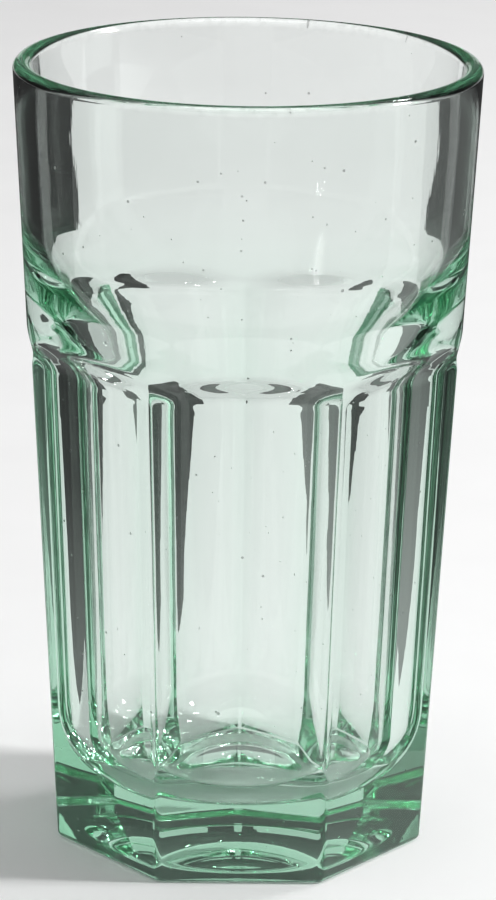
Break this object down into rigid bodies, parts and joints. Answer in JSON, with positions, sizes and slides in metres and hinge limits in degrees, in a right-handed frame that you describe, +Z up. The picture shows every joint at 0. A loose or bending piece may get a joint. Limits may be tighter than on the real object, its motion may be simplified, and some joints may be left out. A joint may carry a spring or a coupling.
{
  "type": "juice glass",
  "caption": "Tall tapered tumbler of clear pale green pressed glass for cold drinks: round upper band, flat vertical panels with ribs between them, rounded lip and thick solid foot.",
  "frame": {"origin": "on the table, under the middle of the foot, where the tumbler's axis meets the surface it stands on", "axes": "+Z up along the tumbler's axis from foot to lip, -Y square to one of the flat panels, +X to the right of someone who faces that panel"},
  "size_m": [0.0812, 0.0812, 0.14],
  "materials": {
    "glass": "clear pale green pressed glass with a smooth fire-polished skin"
  },
  "bodies": {
    "root": {"tumbler": "glass"}
  },
  "joints": []
}
